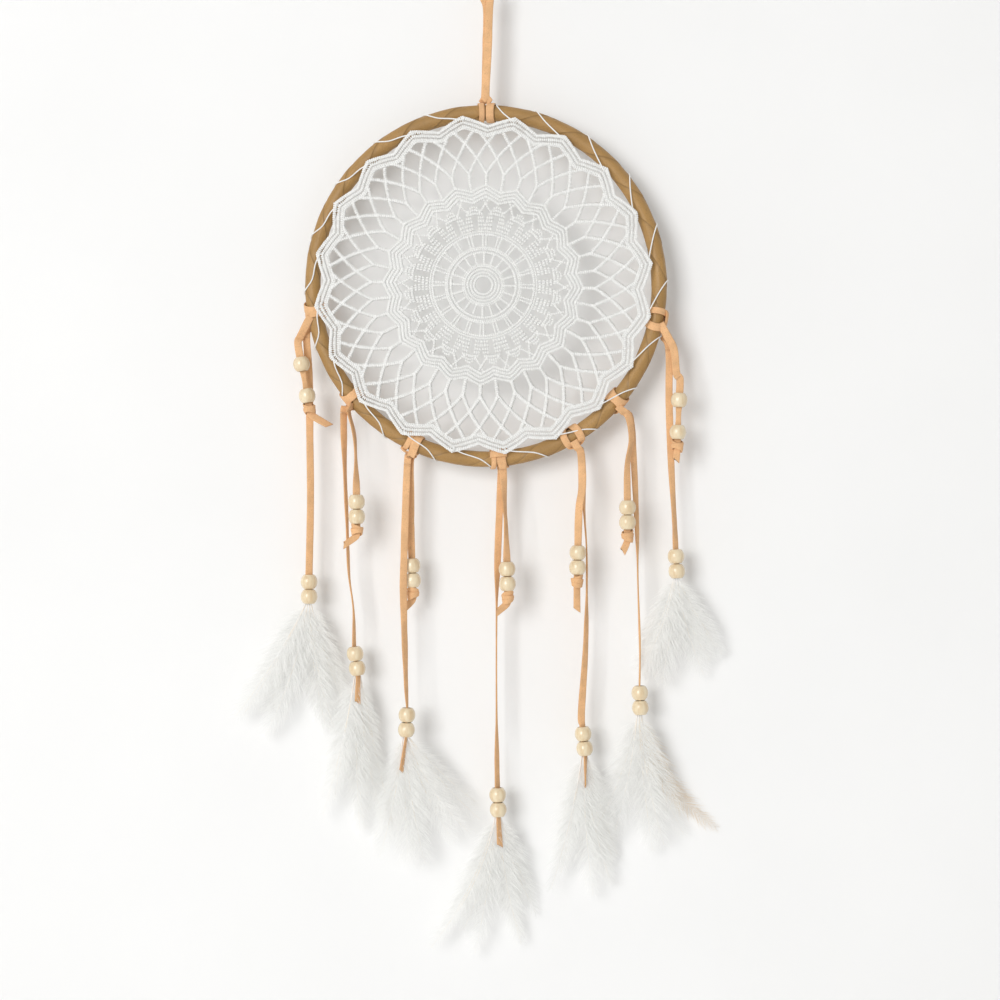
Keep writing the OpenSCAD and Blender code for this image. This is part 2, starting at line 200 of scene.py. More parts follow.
class BeadLooks(bpy.types.PropertyGroup):
    """Turned wooden beads."""

    colour: FloatVectorProperty(name="Wood", description="Colour of the pale wood",
                                default=(0.85, 0.72, 0.50), subtype="COLOR", size=3)
    grain_colour: FloatVectorProperty(name="Grain", description="Colour of the darker grain lines",
                                      default=(0.74, 0.56, 0.34), subtype="COLOR", size=3)


class FeatherLooks(bpy.types.PropertyGroup):
    """Feathers."""

    spacing: FloatProperty(name="Barb spacing", description="Distance between barbs along a quill",
                           default=0.34 * MM, unit="LENGTH", precision=5)
    colour: FloatVectorProperty(name="White", description="Colour of the white barbs",
                                default=(0.975, 0.975, 0.965), subtype="COLOR", size=3)
    cream: FloatVectorProperty(name="Cream", description="Colour of the cream feather",
                               default=(0.88, 0.80, 0.69), subtype="COLOR", size=3)
    # Emission on the barbs: a painted glow that brightens the down in place of the light it scatters inside
    # itself
    painted_glow: FloatProperty(name="Scattered light", description="Light that the down scatters inside itself",
                        default=0.085)
    seed: IntProperty(name="Seed", description="Order of the barbs' random tilt", default=11)


class StageLooks(bpy.types.PropertyGroup):
    """Wall, floor, light and camera."""

    view_width: FloatProperty(name="View width", description="Width that the camera sees at the hoop",
                              default=0.5525, unit="LENGTH")
    wall_gap: FloatProperty(name="Wall gap", description="Distance from the hoop to the wall",
                            default=18 * MM, unit="LENGTH")
    key_power: FloatProperty(name="Window light", description="Power of the large soft light", default=134.0)
    fill: FloatProperty(name="Fill", description="Strength of the light from all round", default=0.50)


# ---------------------------------------------------------------- materials
def named_material(name, build):
    """The material of that name, built the first time that it is asked for."""
    found = bpy.data.materials.get(name)
    if found:
        return found
    made = bpy.data.materials.new(name)
    made.use_nodes = True
    build(made.node_tree, made.node_tree.nodes["Principled BSDF"])
    return made


def add_node(tree, kind, **settings):
    made = tree.nodes.new(kind)
    for key, value in settings.items():
        if key in made.bl_rna.properties:
            setattr(made, key, value)
        else:
            made.inputs[key.replace("_", " ")].default_value = value
    return made


def object_noise(tree, scale, detail=2.0, stretch=(1, 1, 1)):
    """Noise on object coordinates, with its scale in cycles a metre."""
    place = add_node(tree, "ShaderNodeTexCoord")
    mapping = add_node(tree, "ShaderNodeMapping")
    mapping.inputs["Scale"].default_value = stretch
    speckle = add_node(tree, "ShaderNodeTexNoise", Scale=scale, Detail=detail)
    tree.links.new(place.outputs["Object"], mapping.inputs["Vector"])
    tree.links.new(mapping.outputs["Vector"], speckle.inputs["Vector"])
    return speckle.outputs["Fac"]


def attribute(tree, name):
    return add_node(tree, "ShaderNodeAttribute", attribute_name=name).outputs["Fac"]


def mix_colours(tree, factor, a, b):
    """A colour between a and b, which are colours or sockets."""
    mixer = add_node(tree, "ShaderNodeMix", data_type="RGBA")
    tree.links.new(factor, mixer.inputs["Factor"])
    for label, value in (("A", a), ("B", b)):
        socket = next(s for s in mixer.inputs if s.name == label and s.type == "RGBA")
        if isinstance(value, bpy.types.NodeSocket):
            tree.links.new(value, socket)
        else:
            socket.default_value = (*value, 1)
    return next(s for s in mixer.outputs if s.type == "RGBA")


def spread(tree, source, low, high):
    """source from low to high, stretched to 0 to 1."""
    ranger = add_node(tree, "ShaderNodeMapRange")
    ranger.inputs["From Min"].default_value = low
    ranger.inputs["From Max"].default_value = high
    tree.links.new(source, ranger.inputs["Value"])
    return ranger.outputs["Result"]


def bump(tree, shader, height, strength, distance):
    made = add_node(tree, "ShaderNodeBump", Strength=strength, Distance=distance)
    tree.links.new(height, made.inputs["Height"])
    tree.links.new(made.outputs["Normal"], shader.inputs["Normal"])


def darker(colour, share):
    return tuple(c * share for c in colour)


def suede():
    looks = bpy.context.scene.catcher_strap

    def build(tree, shader):
        nap = mix_colours(tree, spread(tree, object_noise(tree, 160, 3), 0.35, 0.65),
                          darker(looks.colour, 0.86), tuple(looks.colour))
        flecks = mix_colours(tree, spread(tree, object_noise(tree, 1900, 3), 0.52, 0.75),
                             nap, darker(looks.colour, 0.7))
        edged = mix_colours(tree, spread(tree, attribute(tree, "edge"), 0.8, 1.0),
                            flecks, tuple(looks.edge_colour))
        tree.links.new(edged, shader.inputs["Base Color"])
        shader.inputs["Roughness"].default_value = 0.88
        shader.inputs["Specular IOR Level"].default_value = 0.25
        shader.inputs["Sheen Weight"].default_value = 0.12
        bump(tree, shader, object_noise(tree, 2400, 4), 0.35, 0.1 * MM)

    return named_material("strap_suede", build)


def paper_tape():
    looks = bpy.context.scene.catcher_hoop

    def build(tree, shader):
        tone = mix_colours(tree, spread(tree, object_noise(tree, 60, 4), 0.3, 0.7),
                           darker(looks.colour, 0.8), tuple(looks.colour))
        fibres = mix_colours(tree, spread(tree, object_noise(tree, 1500, 3), 0.5, 0.8),
                             tone, darker(looks.colour, 0.66))
        # Painted shade: the tape darkened to half its colour along the lap, the step where one turn lies over
        # the next
        lap_shaded = mix_colours(tree, spread(tree, attribute(tree, "lap"), 0.0, 1.0),
                              fibres, darker(looks.colour, 0.5))
        tree.links.new(lap_shaded, shader.inputs["Base Color"])
        rough = spread(tree, object_noise(tree, 300, 3), 0.2, 0.8)
        shine = add_node(tree, "ShaderNodeMapRange")
        shine.inputs["To Min"].default_value = 0.42
        shine.inputs["To Max"].default_value = 0.62
        tree.links.new(rough, shine.inputs["Value"])
        tree.links.new(shine.outputs["Result"], shader.inputs["Roughness"])
        bump(tree, shader, attribute(tree, "crease"), 0.6, 0.3 * MM)

    return named_material("paper_tape", build)


def rattan():
    looks = bpy.context.scene.catcher_hoop

    def build(tree, shader):
        grain = spread(tree, object_noise(tree, 900, 4, (1, 0.2, 1)), 0.3, 0.7)
        tree.links.new(mix_colours(tree, grain, darker(looks.ring_colour, 0.7), tuple(looks.ring_colour)),
                       shader.inputs["Base Color"])
        shader.inputs["Roughness"].default_value = 0.6
        bump(tree, shader, grain, 0.3, 0.2 * MM)

    return named_material("ring_rattan", build)


def cotton():
    looks = bpy.context.scene.catcher_lace

    def build(tree, shader):
        tone = mix_colours(tree, spread(tree, object_noise(tree, 900, 3), 0.3, 0.7),
                           darker(looks.colour, 0.93), tuple(looks.colour))
        tree.links.new(tone, shader.inputs["Base Color"])
        shader.inputs["Roughness"].default_value = 0.9
        shader.inputs["Sheen Weight"].default_value = 0.2
        bump(tree, shader, object_noise(tree, 3600, 2), 0.5, 0.12 * MM)

    return named_material("cotton", build)


def bead_wood():
    looks = bpy.context.scene.catcher_bead

    def build(tree, shader):
        grain = spread(tree, object_noise(tree, 420, 5, (1, 1, 0.16)), 0.42, 0.68)
        tone = mix_colours(tree, grain, tuple(looks.colour), tuple(looks.grain_colour))
        # Painted shade: the bore and its rim darkened to deep brown, where the hole falls into shadow
        bore_shaded = mix_colours(tree, spread(tree, attribute(tree, "bore"), 0.2, 1.0),
                           tone, darker(looks.grain_colour, 0.35))
        tree.links.new(bore_shaded, shader.inputs["Base Color"])
        shader.inputs["Roughness"].default_value = 0.3
        shader.inputs["Coat Weight"].default_value = 0.5
        shader.inputs["Coat Roughness"].default_value = 0.16
        bump(tree, shader, object_noise(tree, 1300, 3, (1, 1, 0.2)), 0.18, 0.1 * MM)

    return named_material("bead_wood", build)


def feather_finish(name, colour):
    painted_glow = bpy.context.scene.catcher_feather.painted_glow

    def build(tree, shader):
        tone = mix_colours(tree, spread(tree, object_noise(tree, 220, 3), 0.3, 0.7),
                           darker(colour, 0.96), tuple(colour))
        tree.links.new(tone, shader.inputs["Base Color"])
        shader.inputs["Roughness"].default_value = 0.75
        shader.inputs["Sheen Weight"].default_value = 0.25
        # Painted glow: emission in the barbs' own tone, standing in for light that the down scatters inside
        # itself
        tree.links.new(tone, shader.inputs["Emission Color"])
        shader.inputs["Emission Strength"].default_value = painted_glow
        bump(tree, shader, object_noise(tree, 5200, 2), 0.3, 0.05 * MM)
        through = add_node(tree, "ShaderNodeBsdfTranslucent")
        tree.links.new(tone, through.inputs["Color"])
        blend = add_node(tree, "ShaderNodeMixShader")
        blend.inputs[0].default_value = 0.6
        tree.links.new(shader.outputs["BSDF"], blend.inputs[1])
        tree.links.new(through.outputs["BSDF"], blend.inputs[2])
        tree.links.new(blend.outputs[0], tree.nodes["Material Output"].inputs["Surface"])

    return named_material(name, build)


def white_feather():
    return feather_finish("white_feather", bpy.context.scene.catcher_feather.colour)


def cream_feather():
    return feather_finish("cream_feather", bpy.context.scene.catcher_feather.cream)


def quill_finish():
    looks = bpy.context.scene.catcher_feather

    def build(tree, shader):
        tone = mix_colours(tree, spread(tree, object_noise(tree, 140, 2), 0.3, 0.7),
                           darker(looks.cream, 1.05), tuple(looks.colour))
        tree.links.new(tone, shader.inputs["Base Color"])
        shader.inputs["Roughness"].default_value = 0.4
        bump(tree, shader, object_noise(tree, 2600, 2, (1, 1, 0.1)), 0.2, 0.05 * MM)

    return named_material("quill", build)


def wall_paint():
    def build(tree, shader):
        tone = mix_colours(tree, spread(tree, object_noise(tree, 8, 2), 0.3, 0.7),
                           (0.90, 0.90, 0.895), (0.92, 0.92, 0.915))
        tree.links.new(tone, shader.inputs["Base Color"])
        shader.inputs["Roughness"].default_value = 1.0
        shader.inputs["Specular IOR Level"].default_value = 0.0
        side = add_node(tree, "ShaderNodeNewGeometry")
        clear = add_node(tree, "ShaderNodeBsdfTransparent")
        one_way = add_node(tree, "ShaderNodeMixShader")
        tree.links.new(side.outputs["Backfacing"], one_way.inputs[0])
        tree.links.new(shader.outputs["BSDF"], one_way.inputs[1])
        tree.links.new(clear.outputs["BSDF"], one_way.inputs[2])
        tree.links.new(one_way.outputs[0], tree.nodes["Material Output"].inputs["Surface"])

    return named_material("wall_paint", build)


# ---------------------------------------------------------------- mesh helpers
def make_object(name, points, faces, finish, smooth=True, closed=True, marks=None):
    """A mesh object of those points and faces; marks are its named values at each point."""
    mesh = bpy.data.meshes.new(name)
    mesh.from_pydata([tuple(p) for p in points], [], faces)
    for label, values in (marks or {}).items():
        mesh.attributes.new(label, "FLOAT", "POINT").data.foreach_set("value", values)
    if closed:
        shell = bmesh.new()
        shell.from_mesh(mesh)
        bmesh.ops.recalc_face_normals(shell, faces=shell.faces)
        shell.to_mesh(mesh)
        shell.free()
    for face in mesh.polygons:
        face.use_smooth = smooth
    mesh.materials.append(finish)
    made = bpy.data.objects.new(name, mesh)
    bpy.context.scene.collection.objects.link(made)
    return made


class Shell:
    """Points, faces and marks of one piece, gathered from several sweeps."""

    def __init__(self):
        self.points, self.faces, self.marks = [], [], {}

    def add(self, points, faces, **marks):
        start = len(self.points)
        self.points += points
        self.faces += [[i + start for i in face] for face in faces]
        for label, values in marks.items():
            kept = self.marks.setdefault(label, [0.0] * start)
            kept += values
        for label, kept in self.marks.items():
            kept += [0.0] * (len(self.points) - len(kept))

    def build(self, name, finish):
        return make_object(name, self.points, self.faces, finish, marks=self.marks)


def loft(rings, closed=False):
    """Faces between rings of equal size, with caps unless the rings close on themselves."""
    n, sides = len(rings), len(rings[0])
    points = [p for ring in rings for p in ring]
    faces = []
    for k in range(n if closed else n - 1):
        a, b = k * sides, (k + 1) % n * sides
        faces += [[a + s, b + s, b + (s + 1) % sides, a + (s + 1) % sides] for s in range(sides)]
    if not closed:
        faces += [list(range(sides))[::-1], [(n - 1) * sides + s for s in range(sides)]]
    return points, faces


def smooth_line(knots, steps):
    """A Catmull-Rom line through knots, which are tuples of equal length."""
    line = []
    for k in range(len(knots) - 1):
        a, b, c, d = (knots[min(max(k + j, 0), len(knots) - 1)] for j in (-1, 0, 1, 2))
        for s in range(steps):
            t = s / steps
            line.append(tuple(0.5 * (2 * q + (r - p) * t + (2 * p - 5 * q + 4 * r - u) * t * t
                                     + (3 * q - p - 3 * r + u) * t ** 3)
                              for p, q, r, u in zip(a, b, c, d)))
    line.append(tuple(knots[-1]))
    return line


def directions(line, closed=False):
    n = len(line)
    if closed:
        return [(line[(k + 1) % n] - line[k - 1]).normalized() for k in range(n)]
    return [(line[min(k + 1, n - 1)] - line[max(k - 1, 0)]).normalized() for k in range(n)]


STRAP_SIDES = 12
BAND_STEPS = 40
BAR_HALF = 4.6 * MM


def strap_section(centre, along, side, width, thickness, shear=0.0):
    """One ring of a strap: a flat oval with round corners, and how near each point is to its edge."""
    u = (side - along * side.dot(along)).normalized()
    v = along.cross(u)
    ring, edge = [], []
    for s in range(STRAP_SIDES):
        a = math.tau * (s + 0.5) / STRAP_SIDES
        x = math.copysign(abs(math.cos(a)) ** 0.45, math.cos(a))
        y = math.copysign(abs(math.sin(a)) ** 0.6, math.sin(a))
        ring.append(centre + u * (x * width / 2) + v * (y * thickness / 2) + along * (x * shear))
        edge.append(abs(x) ** 6)
    return ring, edge


def sweep_strap(shell, stations, closed=False, shear=0.0):
    """A strap through stations (point, side, width share), cut slantwise at its far end."""
    line = [s[0] for s in stations]
    rings, edges = [], []
    for k, (station, along) in enumerate(zip(stations, directions(line, closed))):
        slant = shear if k == len(stations) - 1 else 0.0
        ring, edge = strap_section(station[0], along, station[1], STRAP_W * station[2], STRAP_T, slant)
        rings.append(ring)
        edges += edge
    shell.add(*loft(rings, closed), edge=edges)


def strap_stations(knots, steps=6):
    """Stations through knots (x, y, z, twist in degrees, width share), with a slight wave."""
    wave = bpy.context.scene.catcher_strap.wave
    stations = []
    for x, y, z, twist, width in smooth_line(knots, steps):
        drift = noise.noise(Vector((x * 60, z * 55, 3.1))) * wave * 2
        turn = math.radians(twist) + drift
        grow = 1 + 0.07 * noise.noise(Vector((x * 90, z * 140, 7.7)))
        stations.append((Vector((x, y, z)), Vector((math.cos(turn), math.sin(turn), 0)), width * grow))
    return stations


def round_tube(shell, line, radii, sides=8, closed=False):
    rings = []
    for centre, along, r in zip(line, directions(line, closed), radii):
        across = along.orthogonal() if abs(along.y) > 0.9 else along.cross(Vector((0, 1, 0)))
        u = across.normalized()
        v = along.cross(u)
        rings.append([centre + u * math.cos(math.tau * s / sides) * r + v * math.sin(math.tau * s / sides) * r
                      for s in range(sides)])
    shell.add(*loft(rings, closed))


def on_body(piece, body, slot, *nodes):
    """The piece rides on a body and stands for those nodes of the frame; slot is not used."""
    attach(piece, body)
    if nodes:
        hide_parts(*nodes)
    return piece


# ---------------------------------------------------------------- places of the pendants
def hitch_mid(i):
    a = math.radians(HITCH_AT[i - 1])
    return Vector((RING_R * math.cos(a), 0, HOOP_Z + RING_R * math.sin(a)))


def place(i, point):
    return hitch_mid(i) + Vector((point[0], point[1], -point[2])) * MM


def up_along(lean):
    return Vector((math.sin(math.radians(lean)), 0, math.cos(math.radians(lean))))


def low_bead(i):
    """Centre and upward direction of the bead on the stop knot."""
    x, side, drop, lean = LOW_BEAD[i - 1]
    return place(i, (x, side * BEAD_SIDE, drop)), up_along(lean)


def high_bead(i):
    centre, up = low_bead(i)
    return centre + up * (BEAD_H + BEAD_GAP + RAISED[i - 1] * MM), up


def feather_bead(i, share=0.0):
    """A point on the upper feather bead's axis, share of a bead's height above its centre."""
    x, drop, lean = FEATHER_BEAD[i - 1]
    up = up_along(lean)
    return place(i, (x, LONG_ROUTE[i - 1][1][1], drop)) + up * (BEAD_H * share), up


def feather_pivot(i):
    return feather_bead(i, 0.5)[0] + Vector((0, 0, SWING_GAP))


def pair_bottom(i):
    point, up = feather_bead(i, -1.5)
    return point - up * BEAD_GAP


def hoop_frame(angle):
    """Directions at a place on the hoop: outwards from the hoop's middle, and along the ring."""
    a = math.radians(angle)
    return Vector((math.cos(a), 0, math.sin(a))), Vector((-math.sin(a), 0, math.cos(a)))


def ring_point(angle, offset):
    """Centre of the tube at offset metres along the ring from an angle."""
    outward, _ = hoop_frame(angle + math.degrees(offset / RING_R))
    return Vector((0, 0, HOOP_Z)) + outward * RING_R


# ---------------------------------------------------------------- pieces that repeat: one tree for all
def instance_tree(name, both_sides):
    """A node tree that sets copies of a small piece along every line of a mesh."""
    tree = bpy.data.node_groups.new(name, "GeometryNodeTree")
    sockets = {}
    for label, kind in (("Lines", "Geometry"), ("Spacing", "Float"), ("Piece", "Object"),
                        ("Finish", "Material"), ("Lean", "Vector"), ("Jitter", "Vector"),
                        ("Size jitter", "Float"), ("Seed", "Int")):
        made = tree.interface.new_socket(label, in_out="INPUT", socket_type="NodeSocket" + kind)
        sockets[label] = made.identifier
    tree.interface.new_socket("Result", in_out="OUTPUT", socket_type="NodeSocketGeometry")
    link = tree.links.new
    given = add_node(tree, "NodeGroupInput")
    result = add_node(tree, "NodeGroupOutput")
    curve = add_node(tree, "GeometryNodeMeshToCurve")
    even = add_node(tree, "GeometryNodeResampleCurve", mode="LENGTH")
    link(given.outputs["Lines"], curve.inputs["Mesh"])
    link(curve.outputs["Curve"], even.inputs["Curve"])
    link(given.outputs["Spacing"], even.inputs["Length"])
    tangent = add_node(tree, "GeometryNodeInputTangent")
    side = add_node(tree, "GeometryNodeInputNamedAttribute", data_type="FLOAT_VECTOR")
    side.inputs["Name"].default_value = "side"
    size = add_node(tree, "GeometryNodeInputNamedAttribute", data_type="FLOAT_VECTOR")
    size.inputs["Name"].default_value = "size"
    axes = add_node(tree, "FunctionNodeAxesToRotation", primary_axis="Z", secondary_axis="X")
    link(tangent.outputs["Tangent"], axes.inputs["Primary Axis"])
    link(side.outputs["Attribute"], axes.inputs["Secondary Axis"])
    least = add_node(tree, "ShaderNodeVectorMath", operation="SCALE")
    least.inputs["Scale"].default_value = -1
    link(given.outputs["Jitter"], least.inputs[0])
    tilt = add_node(tree, "FunctionNodeRandomValue", data_type="FLOAT_VECTOR")
    link(least.outputs[0], tilt.inputs["Min"])
    link(given.outputs["Jitter"], tilt.inputs["Max"])
    link(given.outputs["Seed"], tilt.inputs["Seed"])
    leaned = add_node(tree, "ShaderNodeVectorMath", operation="ADD")
    link(tilt.outputs[0], leaned.inputs[0])
    link(given.outputs["Lean"], leaned.inputs[1])
    turn = add_node(tree, "FunctionNodeEulerToRotation")
    link(leaned.outputs[0], turn.inputs[0])
    small = add_node(tree, "ShaderNodeMath", operation="SUBTRACT")
    small.inputs[0].default_value = 1
    link(given.outputs["Size jitter"], small.inputs[1])
    large = add_node(tree, "ShaderNodeMath", operation="ADD")
    large.inputs[0].default_value = 1
    link(given.outputs["Size jitter"], large.inputs[1])
    share = add_node(tree, "FunctionNodeRandomValue", data_type="FLOAT")
    link(small.outputs[0], share.inputs[2])
    link(large.outputs[0], share.inputs[3])
    link(given.outputs["Seed"], share.inputs["Seed"])
    scale = add_node(tree, "ShaderNodeVectorMath", operation="SCALE")
    link(size.outputs["Attribute"], scale.inputs[0])
    link(share.outputs[1], scale.inputs["Scale"])
    source = add_node(tree, "GeometryNodeObjectInfo")
    link(given.outputs["Piece"], source.inputs["Object"])
    join = add_node(tree, "GeometryNodeJoinGeometry")
    for half_turn in ((0.0, math.pi) if both_sides else (0.0,)):
        faced = axes.outputs["Rotation"]
        if half_turn:
            flip = add_node(tree, "FunctionNodeRotateRotation", rotation_space="LOCAL")
            flip.inputs[1].default_value = (0, 0, half_turn)
            link(faced, flip.inputs[0])
            faced = flip.outputs[0]
        tilted = add_node(tree, "FunctionNodeRotateRotation", rotation_space="LOCAL")
        link(faced, tilted.inputs[0])
        link(turn.outputs[0], tilted.inputs[1])
        copies = add_node(tree, "GeometryNodeInstanceOnPoints")
        link(even.outputs["Curve"], copies.inputs["Points"])
        link(source.outputs["Geometry"], copies.inputs["Instance"])
        link(tilted.outputs[0], copies.inputs["Rotation"])
        link(scale.outputs[0], copies.inputs["Scale"])
        link(copies.outputs["Instances"], join.inputs["Geometry"])
    real = add_node(tree, "GeometryNodeRealizeInstances")
    coat = add_node(tree, "GeometryNodeSetMaterial")
    link(join.outputs["Geometry"], real.inputs["Geometry"])
    link(real.outputs["Geometry"], coat.inputs["Geometry"])
    link(given.outputs["Finish"], coat.inputs["Material"])
    link(coat.outputs["Geometry"], result.inputs[0])
    return tree, sockets


def line_mesh(name, lines):
    """Edges along lines; each line is a list of (point, side, size)."""
    points, edges, sides, sizes = [], [], [], []
    for line in lines:
        start = len(points)
        for point, side, size in line:
            points.append(tuple(point))
            sides += list(side)
            sizes += list(size)
        edges += [(start + k, start + k + 1) for k in range(len(line) - 1)]
    mesh = bpy.data.meshes.new(name)
    mesh.from_pydata(points, edges, [])
    mesh.attributes.new("side", "FLOAT_VECTOR", "POINT").data.foreach_set("vector", sides)
    mesh.attributes.new("size", "FLOAT_VECTOR", "POINT").data.foreach_set("vector", sizes)
    made = bpy.data.objects.new(name, mesh)
    bpy.context.scene.collection.objects.link(made)
    return made


def set_along(name, lines, piece, finish, spacing, seed, lean=(0, 0, 0), jitter=(0, 0, 0),
              size_jitter=0.0, both_sides=False, smooth=True):
    """A plain mesh of copies of piece along lines."""
    guide = line_mesh(name + "_lines", lines)
    tree, sockets = instance_tree(name + "_tree", both_sides)
    modifier = guide.modifiers.new("copies", "NODES")
    modifier.node_group = tree
    for label, value in (("Spacing", spacing), ("Piece", piece), ("Finish", finish), ("Lean", lean),
                         ("Jitter", jitter), ("Size jitter", size_jitter), ("Seed", seed)):
        modifier[sockets[label]] = value
    guide.data.update()
    evaluated = guide.evaluated_get(bpy.context.evaluated_depsgraph_get())
    mesh = bpy.data.meshes.new_from_object(evaluated)
    mesh.name = name
    for spare in ("side", "size"):
        if spare in mesh.attributes:
            mesh.attributes.remove(mesh.attributes[spare])
    bpy.data.objects.remove(guide)
    bpy.data.node_groups.remove(tree)
    for face in mesh.polygons:
        face.use_smooth = smooth
    if not mesh.polygons:
        raise RuntimeError(name + " came out empty")
    made = bpy.data.objects.new(name, mesh)
    bpy.context.scene.collection.objects.link(made)
    return made


def small_piece(name, points, faces):
    """A hidden piece that a tree copies."""
    mesh = bpy.data.meshes.new(name)
    mesh.from_pydata(points, [], faces)
    shell = bmesh.new()
    shell.from_mesh(mesh)
    bmesh.ops.recalc_face_normals(shell, faces=shell.faces)
    shell.to_mesh(mesh)
    shell.free()
    return bpy.data.objects.new(name, mesh)


def stitch_grain():
    """A rounded grain of yarn, one unit across each way."""
    sides, rings = 5, (-0.3, 0.3)
    points = [(0, 0, -0.5)]
    for z in rings:
        r = math.sqrt(0.25 - z * z * 0.7)
        points += [(r * math.cos(math.tau * s / sides), r * math.sin(math.tau * s / sides), z)
                   for s in range(sides)]
    points.append((0, 0, 0.5))
    last = len(points) - 1
    faces = [[0, 1 + (s + 1) % sides, 1 + s] for s in range(sides)]
    for k in range(len(rings) - 1):
        a, b = 1 + k * sides, 1 + (k + 1) * sides
        faces += [[a + s, a + (s + 1) % sides, b + (s + 1) % sides, b + s] for s in range(sides)]
    top = 1 + (len(rings) - 1) * sides
    faces += [[last, top + s, top + (s + 1) % sides] for s in range(sides)]
    return small_piece("stitch_grain", points, faces)


def feather_barb():
    """A thin barb that reaches one unit along X and bends towards +Z."""
    rings = []
    for s in (0.0, 0.36, 0.72):
        x, z = s, 0.55 * s + 0.55 * s * s
        rings.append([(x - 0.006, 0, z + 0.007), (x + 0.006, 0, z - 0.007), (x, 0.004, z)])
    points = [p for ring in rings for p in ring] + [(1.0, 0.01, 1.1)]
    faces = [[0, 1, 2]]
    for k in (0, 3):
        faces += [[k + s, k + (s + 1) % 3, k + 3 + (s + 1) % 3, k + 3 + s] for s in range(3)]
    faces += [[6 + s, 6 + (s + 1) % 3, 9] for s in range(3)]
    return small_piece("feather_barb", points, faces)


# ---------------------------------------------------------------- operators
class CATCHER_OT_stage(bpy.types.Operator):
    """Camera, wall, floor and light"""

    bl_idname = "catcher.stage"
    bl_label = "Stage"

    def execute(self, context):
        looks = context.scene.catcher_stage
        lens, sensor = 85.0, 36.0
        camera = bpy.data.objects.new("camera", bpy.data.cameras.new("camera"))
        camera.data.lens = lens
        camera.data.sensor_width = sensor
        camera.location = (7.7 * MM, -looks.view_width * lens / sensor, -286.2 * MM)
        camera.rotation_euler = (math.pi / 2, 0, 0)
        context.scene.collection.objects.link(camera)
        context.scene.camera = camera
        context.scene.view_settings.view_transform = "Standard"

        half, floor_z = 2.2, -0.92
        wall = make_object(
            "wall", [(-half, looks.wall_gap, floor_z), (half, looks.wall_gap, floor_z),
                     (half, looks.wall_gap, 2), (-half, looks.wall_gap, 2)],
            [[0, 1, 2, 3]], wall_paint(), smooth=False, closed=False)
        floor = make_object(
            "floor", [(-half, -3, floor_z), (half, -3, floor_z), (half, 3, floor_z), (-half, 3, floor_z)],
            [[0, 1, 2, 3]], wall_paint(), smooth=False, closed=False)

        key = bpy.data.objects.new("window_light", bpy.data.lights.new("window_light", "AREA"))
        key.data.shape = "RECTANGLE"
        key.data.size, key.data.size_y = 2.05, 2.35
        key.data.energy = looks.key_power
        key.location = (-2.3, -4.3, 0.55)
        aim = Vector((0, 0, -0.3)) - key.location
        key.rotation_euler = aim.to_track_quat("-Z", "Y").to_euler()
        context.scene.collection.objects.link(key)

        world = bpy.data.worlds.new("daylight")
        world.use_nodes = True
        world.node_tree.nodes["Background"].inputs["Color"].default_value = (1.0, 0.995, 0.985, 1)
        world.node_tree.nodes["Background"].inputs["Strength"].default_value = looks.fill
        context.scene.world = world
        return {"FINISHED"}


class CATCHER_OT_hanging_loop(bpy.types.Operator):
    """Suede loop that the hoop hangs by, and the hitch that holds it"""

    bl_idname = "catcher.hanging_loop"
    bl_label = "Hanging loop"

    def execute(self, context):
        foot = HOOP_Z + RING_R + HITCH_R
        knots = [(-2.6, 1.6, foot / MM + 0.4, 20), (-1.3, 1.1, -65.2, 12), (-0.5, 0.8, TWIST_Z / MM, 0),
                 (0.1, 0.85, -38, 6), (0.4, 0.8, -15, 0), (-2, 0.4, -8, 45)]
        for a in range(180, -1, -45):
            t = math.radians(a)
            knots.append((EYE_R / MM * math.cos(t), 0, EYE_R / MM * (math.sin(t) - 1) + 0.45, 90))
        knots += [(2.6, -0.4, -8, 135), (1.8, -0.8, -15, 180), (1.0, -0.85, -38, 174),
                  (-0.2, -0.8, TWIST_Z / MM, 180), (1.1, -1.2, -65.4, 168), (2.4, -1.7, foot / MM + 0.2, 150)]
        stations = strap_stations([(x * MM, y * MM, z * MM, turn, 1) for x, y, z, turn in knots], 7)
        shell = Shell()
        sweep_strap(shell, stations)
        loop = shell.build("hanging_loop_suede", suede())
        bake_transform(loop)
        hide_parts("hanging_loop")

        shell = Shell()
        hitch_bands(shell, 90, TOP_HITCH)
        on_body(shell.build("top_hitch_suede", suede()), "top_knot", "suede", "top_hitch")
        return {"FINISHED"}


def hitch_bands(shell, angle, bands):
    """Two bands of strap round the tube and the bar that joins them."""
    for offset, slant, width in bands[:2]:
        stations = []
        for k in range(BAND_STEPS):
            turn = math.tau * k / BAND_STEPS
            along = offset * MM + slant * MM * math.cos(turn)
            outward, ring = hoop_frame(angle + math.degrees(along / RING_R))
            radial = outward * math.sin(turn) + Vector((0, -1, 0)) * math.cos(turn)
            loose = 1 + 0.03 * noise.noise(Vector((angle, offset, turn)))
            lean = slant * MM * math.sin(turn) / HITCH_R
            around = outward * math.cos(turn) + Vector((0, 1, 0)) * math.sin(turn)
            stations.append((ring_point(angle, along) + radial * HITCH_R * loose,
                             (ring + around * lean).normalized(), width))
        rings, edges = [], []
        for k, station in enumerate(stations):
            nearby = stations[(k + 1) % BAND_STEPS][0] - stations[k - 1][0]
            ring, edge = strap_section(station[0], nearby.normalized(), station[1],
                                       STRAP_W * station[2], STRAP_T)
            rings.append(ring)
            edges += edge
        shell.add(*loft(rings, closed=True), edge=edges)
    turn = math.radians(bands[2])
    stations = []
    for k in range(13):
        share = k / 6 - 1
        outward, ring = hoop_frame(angle + math.degrees(share * BAR_HALF / RING_R))
        radial = outward * math.sin(turn) + Vector((0, -1, 0)) * math.cos(turn)
        around = outward * math.cos(turn) + Vector((0, 1, 0)) * math.sin(turn)
        lift = HITCH_R + (1.0 - 1.1 * abs(share) ** 4) * MM
        stations.append((ring_point(angle, share * BAR_HALF) + radial * lift, around, 0.86))
    sweep_strap(shell, stations)


